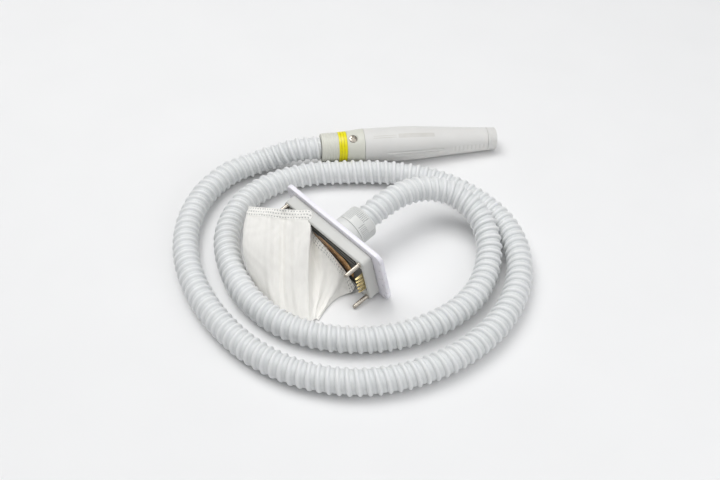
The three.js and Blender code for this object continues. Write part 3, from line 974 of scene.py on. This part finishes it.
def build_contacts():
    return [
        refined(f"contact_{number}", f"contact_finger_{number}", 0.1, 30, 1, across=0.6)
        for number in range(1, 11)
    ]


# Upper and lower edge of the film strip, across the contact face, in millimetres.
FILM_EDGES = [
    ((-25, 14), (-26, -2)), ((-10, 15.5), (-14, 3)), ((4, 15.5), (1, 5)), ((16, 12.5), (12, 2)),
    ((26, 8.5), (21, -5)), ((31, 2.5), (27, -12)), ((34, -3), (32, -14)),
]


def build_film():
    """Thin strip that bows out of the recess between its two ends."""
    steps = 28
    edges = [
        [Vector((x, 0, z)) for x, z in (pair[row] for pair in FILM_EDGES)] for row in (0, 1)
    ]
    mesh = bmesh.new()
    upper, lower = (
        [mesh.verts.new(between(edge, step / steps)) for step in range(steps + 1)]
        for edge in edges
    )
    rails = [
        [mesh.edges.new(pair) for pair in zip(row, row[1:])] for row in (upper, lower)
    ]
    bmesh.ops.bridge_loops(mesh, edges=rails[0] + rails[1])
    across = [
        e for e in mesh.edges if e not in rails[0] and e not in rails[1]
    ]
    bmesh.ops.subdivide_edges(mesh, edges=across, cuts=5, use_grid_fill=True)
    ends = (FILM_EDGES[0][0][0], FILM_EDGES[-1][0][0])
    for vert in mesh.verts:
        share = (vert.co.x - ends[0]) / (ends[1] - ends[0])
        vert.co.y = -14.9 - 1.5 * math.sin(math.pi * min(max(share, 0), 1))
    bmesh.ops.recalc_face_normals(mesh, faces=mesh.faces[:])
    bmesh.ops.solidify(mesh, geom=mesh.faces[:], thickness=0.25)
    bmesh.ops.recalc_face_normals(mesh, faces=mesh.faces[:])
    return place("film_flex", mesh, PLUG, "root", "amber_film", ["film_strip"], 40)


def build_block(sizes):
    edge = sizes.edge / MM
    return [
        refined("plug_block", "block_moulding", edge, 35, 2, 40),
        refined("contact_insulator", "insulator_moulding", 0.2, 35, 1),
        build_film(),
    ]


def nut_rib(sizes, station, angle):
    """Height of the ribs on the nut: two rows of panels, ribbed and smooth in turn."""
    row = 0 if station < 22.5 else 1
    if math.floor((angle + 360) / 40) % 3 == row:
        return 0.0
    fade = plateau(station, 15.3 + 7 * row, 21.9 + 7 * row, 0.4)
    ridge = abs(math.sin(math.radians(angle) * 28.5)) ** 0.6
    return -sizes.grip_rib / MM * fade * (1 - ridge)


def build_gland(sizes):
    radius = 16.7
    rows = [13.6 + 0.6 * number for number in range(26)]
    outline = [(13.3, 14.6), (13.3, radius - 0.4)]
    outline += [(station, radius) for station in rows]
    outline += [(29.6, radius - 0.2), (30.6, radius - 0.9), (31, radius - 1.6), (31, 13.4)]
    outline += [(30.6, 13.0), (22.6, 13.0), (22.6, 14.6)]
    nut = y_outline(outline, 342)
    # Depth in the rib valleys, from which the nut's material paints shade.
    valley = nut.verts.layers.float.new("valley")
    for vert in nut.verts:
        flat = math.hypot(vert.co.x, vert.co.z)
        if flat < radius - 0.05 or not 13.6 < vert.co.y < 29:
            continue
        angle = math.degrees(math.atan2(vert.co.x, vert.co.z))
        sunk = nut_rib(sizes, vert.co.y, angle)
        vert[valley] = min(1, -sunk / (sizes.grip_rib / MM))
        share = 1 + sunk / flat
        vert.co.x *= share
        vert.co.z *= share
    body = y_outline([
        (1.6, 9), (1.6, 16.4), (1.9, 16.8), (12.7, 16.8), (13, 16.5), (13, 14.2), (20, 14.2),
        (20, 13), (13, 13), (13, 9),
    ], 96)
    return [
        place("gland_nut_ribbed", nut, PLUG, "nut", "gland_plastic", ["gland_nut"], 40,
              MATERIALS["nut_nylon"]),
        place("gland_body_turned", body, PLUG, "root", "gland_plastic", ["gland_body"]),
    ]


def build_plate_screws():
    """Four button heads on the back of the plate, each with a cross recess, as one piece."""
    outline = [(0.3, 0), (0.3, 2.8), (0.6, 3.0)]
    steps = 14
    for step in range(steps + 1):
        angle = math.pi / 2 * step / steps
        outline.append((0.7 + 1.2 * math.sin(angle), 3.0 * math.cos(angle) + 0.0001))
    mesh = turned(outline, 64, closed=False)
    upright = Matrix.Rotation(-math.pi / 2, 4, "Y")
    bmesh.ops.transform(mesh, matrix=upright, verts=mesh.verts[:])
    cross_recess(mesh, Vector((0, 0, 0)), 2.4, 0.9, 0.7, 1.7, 0.4)
    outward = Matrix.Rotation(-math.pi / 2, 4, "X")
    bmesh.ops.transform(mesh, matrix=outward, verts=mesh.verts[:])
    head = mesh.verts[:] + mesh.edges[:] + mesh.faces[:]
    nodes = [f"plate_screw_{number}" for number in range(1, 5)]
    for node in nodes:
        low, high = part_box(node)
        centre = PLUG.inverted() @ ((low + high) / 2)
        copied = bmesh.ops.duplicate(mesh, geom=head)["geom"]
        fresh = [g for g in copied if isinstance(g, bmesh.types.BMVert)]
        bmesh.ops.translate(mesh, vec=(centre.x, 0, centre.z), verts=fresh)
    first = [g for g in head if isinstance(g, bmesh.types.BMVert)]
    bmesh.ops.delete(mesh, geom=first, context="VERTS")
    bmesh.ops.recalc_face_normals(mesh, faces=mesh.faces[:])
    return place("plate_screw_heads", mesh, PLUG, "root", "steel", nodes, 45)


# ---------- cover ----------

# Columns of the cloth in the row's millimetres, each from the hem down to the floor. They run
# from the plug's far end over its top and round to the near end of its contact face.
COVER_COLUMNS = [
    [(-141, -98, 12), (-143, -100, 10), (-146, -103, 7), (-149, -107, 4), (-153, -112, 1.5)],
    [(-150, -103, 34), (-153, -106, 27), (-157, -111, 18), (-161, -117, 9), (-165, -125, 1.5)],
    [(-165, -109, 53), (-169, -115, 43), (-172, -123, 29), (-174, -131, 15), (-176, -140, 2)],
    [(-172, -113.5, 60), (-177.5, -126, 53), (-181, -139, 41), (-180.5, -151, 24), (-174, -164, 3)],
    [(-160, -117, 60.5), (-165, -133, 51.5), (-168, -150, 38), (-168.5, -166, 21), (-166, -180, 3)],
    [(-149, -120, 60.5), (-152.5, -137, 49), (-155.5, -155, 35), (-157.5, -173, 19), (-157, -190, 3)],
    [(-140, -123, 61), (-143, -139, 48.5), (-146, -157, 34.5), (-148.5, -176, 19), (-149, -196, 3)],
    [(-128, -126, 61), (-131.5, -142.5, 50), (-135, -161, 36), (-137.5, -182, 19), (-138, -205, 3)],
    [(-117, -129, 61), (-121, -144.5, 52), (-125, -163, 37), (-128.4, -187, 17.5), (-130, -210, 3)],
    [(-117, -137.5, 44), (-118, -148, 34), (-118.5, -164, 21), (-123, -187, 10), (-127, -209, 2.5)],
    [(-109, -153.5, 41), (-110, -160, 33), (-111, -171, 21), (-117, -188, 10), (-125, -208, 2)],
    [(-101, -165.5, 36), (-101, -169, 27), (-104, -176, 17), (-113, -190, 6), (-123.5, -207, 1.5)],
    [(-92.5, -174.5, 26), (-93, -177, 17), (-99, -181, 8), (-111, -192, 2.5), (-122, -208, 1)],
    [(-84, -179.5, 8), (-86, -181, 3.5), (-98, -184, 1.2), (-111, -194, 1), (-121.5, -209, 1)],
]
# Over 1, the grid's rows crowd towards the hem, whose dots are its finest shape.
HEM_CROWDING = 1.6


def between(points, t):
    """A point at a share, from 0 to 1, of the smooth curve through some points."""
    goal = min(max(t, 0), 1) * (len(points) - 1)
    index = min(int(goal), len(points) - 2)
    return route_point(points, index, goal - index)


def cloth_wave(across, down):
    """Soft pleats that run down the cloth, with a few slow wrinkles, in millimetres."""
    pleats = 0.0
    for centre, depth, width in (
        (0.36, 2.0, 0.035), (0.45, -1.9, 0.03), (0.53, 1.4, 0.03), (0.622, 1.1, 0.012),
        (0.79, -1.6, 0.05), (0.885, 2.4, 0.045),
    ):
        pleats += depth * bell(across, centre, width) * plateau(down, 0.14, 0.9, 0.12)
    slow = math.sin(across * 23 + down * 5) * math.sin(down * 9 + 1.3 * math.sin(across * 11))
    fine = math.sin(across * 71 + 3 * math.sin(down * 13)) * math.sin(down * 31 + across * 17)
    return pleats + (0.7 * slow + 0.22 * fine) * plateau(down, 0.18, 0.95, 0.15)


def cover_grid(across_steps, down_steps):
    """The cloth's middle surface in millimetres: rows of points from one end to the other."""
    columns = [[Vector(p) for p in column] for column in COVER_COLUMNS]
    downs = [
        [between(column, (row / down_steps) ** HEM_CROWDING) for column in columns]
        for row in range(down_steps + 1)
    ]
    return [
        [between(line, step / across_steps) for step in range(across_steps + 1)]
        for line in downs
    ]


def build_cover(sizes):
    """Thin folded cloth: a grid laid through the columns, with pleats, hem and welded dots."""
    across_steps, down_steps = 330, 130
    rows = cover_grid(across_steps, down_steps)
    mesh = bmesh.new()
    bmesh.ops.create_grid(
        mesh, x_segments=across_steps, y_segments=down_steps, size=0.5,
    )
    layer = mesh.loops.layers.uv.new("UVMap")
    welded = mesh.verts.layers.float.new("weld")
    ordered = sorted(mesh.verts, key=lambda v: (-round(v.co.y, 6), round(v.co.x, 6)))
    flat = {}
    run = [0.0]
    middle = rows[down_steps // 2]
    for one, two in zip(middle, middle[1:]):
        run.append(run[-1] + (two - one).length)
    for number, vert in enumerate(ordered):
        row, step = divmod(number, across_steps + 1)
        place_now = rows[row][step]
        fall = sum(
            (rows[r + 1][step] - rows[r][step]).length for r in range(row)
        )
        flat[vert] = (run[step], fall)
        vert.co = place_now
    for face in mesh.faces:
        for loop in face.loops:
            u, v = flat[loop.vert]
            loop[layer].uv = (u * MM, v * MM)
    mesh.normal_update()
    moves = {}
    hem = sizes.hem / MM
    pitch = sizes.dot_pitch / MM
    for number, vert in enumerate(ordered):
        row, step = divmod(number, across_steps + 1)
        u, v = flat[vert]
        out = vert.normal if vert.normal.z > 0 or vert.normal.y < 0 else -vert.normal
        move = cloth_wave(step / across_steps, row / down_steps)
        if v < hem:
            move += 0.35
            line = int(v / (hem / 3))
            near_u = (u / pitch + 0.5 * (line % 2)) % 1 - 0.5
            near_v = (v / (hem / 3)) % 1 - 0.5
            reach = math.hypot(near_u * pitch, near_v * hem / 3)
            vert[welded] = plateau(reach, -1, 0.35, 0.55)
            move -= 0.6 * vert[welded]
        moves[vert] = out * move
    for vert, move in moves.items():
        vert.co += move
        vert.co.z = max(vert.co.z, 0.9)
    thickness = sizes.thickness / MM
    geometry = mesh.faces[:]
    bmesh.ops.solidify(mesh, geom=geometry, thickness=thickness)
    bmesh.ops.recalc_face_normals(mesh, faces=mesh.faces[:])
    area = sum(
        (rows[r + 1][c] - rows[r][c]).cross(rows[r][c + 1] - rows[r][c]).length
        for r in range(down_steps) for c in range(across_steps)
    )
    print(f"cover area {area:.0f} mm2, hem {run[-1]:.0f} mm")
    cover = place(
        "nonwoven_cover", mesh, Matrix.Scale(MM, 4), "root", "cover_fabric", ["dust_cover"], 60,
    )
    return cover


# ---------- stage ----------


def make_stage():
    """Pale floor that turns up into a backdrop far behind."""
    mesh = bmesh.new()
    start_edge = [mesh.verts.new((-4, -3, 0)), mesh.verts.new((4, -3, 0))]
    edge = mesh.edges.new(start_edge)
    profile = [(2.2, 0)]
    profile += [
        (2.2 + 0.8 * math.sin(math.pi / 16 * n), 0.8 - 0.8 * math.cos(math.pi / 16 * n))
        for n in range(1, 9)
    ]
    profile.append((3.0, 3.0))
    for y, z in profile:
        grown = bmesh.ops.extrude_edge_only(mesh, edges=[edge])["geom"]
        edge = next(g for g in grown if isinstance(g, bmesh.types.BMEdge))
        for vert in (g for g in grown if isinstance(g, bmesh.types.BMVert)):
            vert.co.y, vert.co.z = y, z
    bmesh.ops.recalc_face_normals(mesh, faces=mesh.faces[:])
    if sum(f.normal.z for f in mesh.faces) < 0:
        bmesh.ops.reverse_faces(mesh, faces=mesh.faces[:])
    data = bpy.data.meshes.new("studio_floor")
    mesh.to_mesh(data)
    mesh.free()
    data.shade_smooth()
    data.materials.append(studio_paper("floor_paper", "F0F0F0"))
    floor = bpy.data.objects.new("studio_floor", data)
    bpy.context.scene.collection.objects.link(floor)


def add_light(name, where, target, size, power, tint):
    data = bpy.data.lights.new(name, "AREA")
    data.shape = "RECTANGLE"
    data.size, data.size_y = size
    data.energy = power
    data.color = linear(tint)
    light = bpy.data.objects.new(name, data)
    light.location = where
    light.rotation_euler = (Vector(target) - Vector(where)).to_track_quat("-Z", "Y").to_euler()
    bpy.context.scene.collection.objects.link(light)


CAMERA_PLACE = (-0.1772, -0.8140, 0.7335)
CAMERA_TILT = 44
CAMERA_HEADING = -8.8
CAMERA_LENS = 52.5


def make_lights_and_camera():
    middle = (-0.06, -0.12, 0.0)
    add_light("key_softbox", (-0.7, 0.5, 2.1), middle, (1.5, 1.3), 24, "FFFFFF")
    add_light("top_softbox", (0.1, -0.3, 2.3), middle, (2.2, 2.2), 17, "FFFFFF")
    add_light("fill_softbox", (0.9, -1.0, 0.9), middle, (1.2, 1.0), 5, "FCFDFF")
    world = bpy.data.worlds.new("studio_air")
    world.use_nodes = True
    air = world.node_tree.nodes["Background"]
    air.inputs["Color"].default_value = rgba("F6F7F9")
    air.inputs["Strength"].default_value = 0.33
    bpy.context.scene.world = world
    data = bpy.data.cameras.new("camera")
    data.lens = CAMERA_LENS
    data.clip_start = 0.01
    camera = bpy.data.objects.new("camera", data)
    camera.location = CAMERA_PLACE
    camera.rotation_euler = (math.radians(CAMERA_TILT), 0, math.radians(CAMERA_HEADING))
    bpy.context.scene.collection.objects.link(camera)
    bpy.context.scene.camera = camera
    view = bpy.context.scene.view_settings
    view.view_transform = "Standard"
    view.look = "None"


# ---------- add-on ----------


def finish_cad_nodes():
    """The pieces that stay as the CAD made them get the finish of their slot."""
    for node, piece in frame["nodes"].items():
        piece.data.materials.clear()
        piece.data.materials.append(MATERIALS[slot_of_node(node)])


class HANDPIECE_OT_stage(bpy.types.Operator):
    """Floor, lights and camera"""

    bl_idname = "handpiece.stage"
    bl_label = "Stage"

    def execute(self, context):
        make_stage()
        make_lights_and_camera()
        return {"FINISHED"}


class HANDPIECE_OT_finishes(bpy.types.Operator):
    """Makes every finish and gives the CAD pieces theirs"""

    bl_idname = "handpiece.finishes"
    bl_label = "Finishes"

    def execute(self, context):
        make_materials(context.scene.handpiece_finishes)
        finish_cad_nodes()
        return {"FINISHED"}


class HANDPIECE_OT_plate(bpy.types.Operator):
    """Cover plate of the plug and its four screws"""

    bl_idname = "handpiece.plate"
    bl_label = "Cover plate"

    def execute(self, context):
        build_plate(context.scene.handpiece_plug)
        build_plate_screws()
        return {"FINISHED"}


class HANDPIECE_OT_block(bpy.types.Operator):
    """Contact block, its insulator and the film strip"""

    bl_idname = "handpiece.block"
    bl_label = "Contact block"

    def execute(self, context):
        build_block(context.scene.handpiece_plug)
        return {"FINISHED"}


class HANDPIECE_OT_contacts(bpy.types.Operator):
    """Guide pins and contact fingers"""

    bl_idname = "handpiece.contacts"
    bl_label = "Pins and contacts"

    def execute(self, context):
        build_pins()
        build_contacts()
        return {"FINISHED"}


class HANDPIECE_OT_gland(bpy.types.Operator):
    """Gland body and its ribbed nut"""

    bl_idname = "handpiece.gland"
    bl_label = "Gland"

    def execute(self, context):
        build_gland(context.scene.handpiece_plug)
        return {"FINISHED"}


class HANDPIECE_OT_cover(bpy.types.Operator):
    """Non-woven cover over the mating side of the plug"""

    bl_idname = "handpiece.cover"
    bl_label = "Cover"

    def execute(self, context):
        build_cover(context.scene.handpiece_cover)
        return {"FINISHED"}


class HANDPIECE_OT_hose(bpy.types.Operator):
    """Ribbed hose from the collar to the gland"""

    bl_idname = "handpiece.hose"
    bl_label = "Hose"

    def execute(self, context):
        build_hose(context.scene.handpiece_hose)
        return {"FINISHED"}


class HANDPIECE_OT_barrel(bpy.types.Operator):
    """Grip with its long grooves and finger ribs"""

    bl_idname = "handpiece.barrel"
    bl_label = "Grip"

    def execute(self, context):
        build_barrel(context.scene.handpiece_sizes)
        return {"FINISHED"}


class HANDPIECE_OT_collar(bpy.types.Operator):
    """Rear collar, its label and its screw"""

    bl_idname = "handpiece.collar"
    bl_label = "Collar"

    def execute(self, context):
        build_collar(context.scene.handpiece_sizes)
        build_label()
        build_collar_screw()
        return {"FINISHED"}


class HANDPIECE_OT_nose(bpy.types.Operator):
    """Lock ring, retainer, spindle and collet"""

    bl_idname = "handpiece.nose"
    bl_label = "Nose"

    def execute(self, context):
        build_nose_ring()
        build_nose_front()
        return {"FINISHED"}


OPERATORS = [
    HANDPIECE_OT_stage, HANDPIECE_OT_finishes, HANDPIECE_OT_plate, HANDPIECE_OT_block,
    HANDPIECE_OT_contacts, HANDPIECE_OT_gland, HANDPIECE_OT_cover, HANDPIECE_OT_hose,
    HANDPIECE_OT_barrel, HANDPIECE_OT_collar, HANDPIECE_OT_nose,
]

SETTINGS = {
    "handpiece_finishes": Finishes,
    "handpiece_sizes": HandpieceSizes,
    "handpiece_hose": HoseSizes,
    "handpiece_plug": PlugSizes,
    "handpiece_cover": CoverSizes,
}


class HANDPIECE_PT_panel(bpy.types.Panel):
    """Lists the steps and their sizes"""

    bl_idname = "HANDPIECE_PT_panel"
    bl_label = "Motor handpiece"
    bl_space_type = "VIEW_3D"
    bl_region_type = "UI"
    bl_category = "Handpiece"

    def draw(self, context):
        for name, group in SETTINGS.items():
            box = self.layout.box()
            settings = getattr(context.scene, name)
            for prop in group.__annotations__:
                box.prop(settings, prop)
        for operator in OPERATORS:
            self.layout.operator(operator.bl_idname)


def register():
    for name, group in SETTINGS.items():
        bpy.utils.register_class(group)
        setattr(bpy.types.Scene, name, PointerProperty(type=group))
    for operator in OPERATORS:
        bpy.utils.register_class(operator)
    bpy.utils.register_class(HANDPIECE_PT_panel)


def unregister():
    bpy.utils.unregister_class(HANDPIECE_PT_panel)
    for operator in reversed(OPERATORS):
        bpy.utils.unregister_class(operator)
    for name, group in SETTINGS.items():
        delattr(bpy.types.Scene, name)
        bpy.utils.unregister_class(group)


def write_sizes():
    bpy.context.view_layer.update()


def main():
    register()
    for operator in OPERATORS:
        group, name = operator.bl_idname.split(".")
        getattr(getattr(bpy.ops, group), name)()
    write_sizes()


if __name__ == "__main__":
    main()
